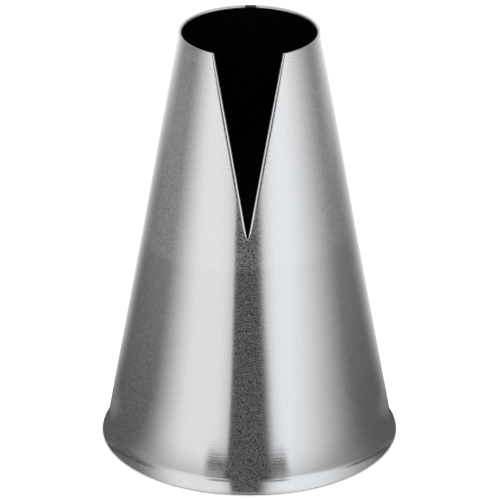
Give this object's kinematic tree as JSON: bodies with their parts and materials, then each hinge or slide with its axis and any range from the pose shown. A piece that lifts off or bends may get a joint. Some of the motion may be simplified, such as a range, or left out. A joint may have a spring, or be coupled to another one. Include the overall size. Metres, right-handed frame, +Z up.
{
  "type": "piping nozzle",
  "caption": "Conical sheet steel piping nozzle, open at both ends, with a flared lip at its foot, a deep V notch in its mouth and a welded seam down its back.",
  "frame": {"origin": "centre of the lip's ring on the table, at the foot of the nozzle's axis", "axes": "+Z up the nozzle's axis from the lip to the mouth, -Y towards the notch, +Y towards the welded seam"},
  "size_m": [0.0344, 0.0344, 0.05],
  "materials": {
    "stainless_sheet": "satin polished stainless steel sheet",
    "weld_bead": "dressed stainless steel weld"
  },
  "bodies": {
    "root": {"cone_wall": "stainless_sheet", "seam_weld": "weld_bead"}
  },
  "joints": []
}
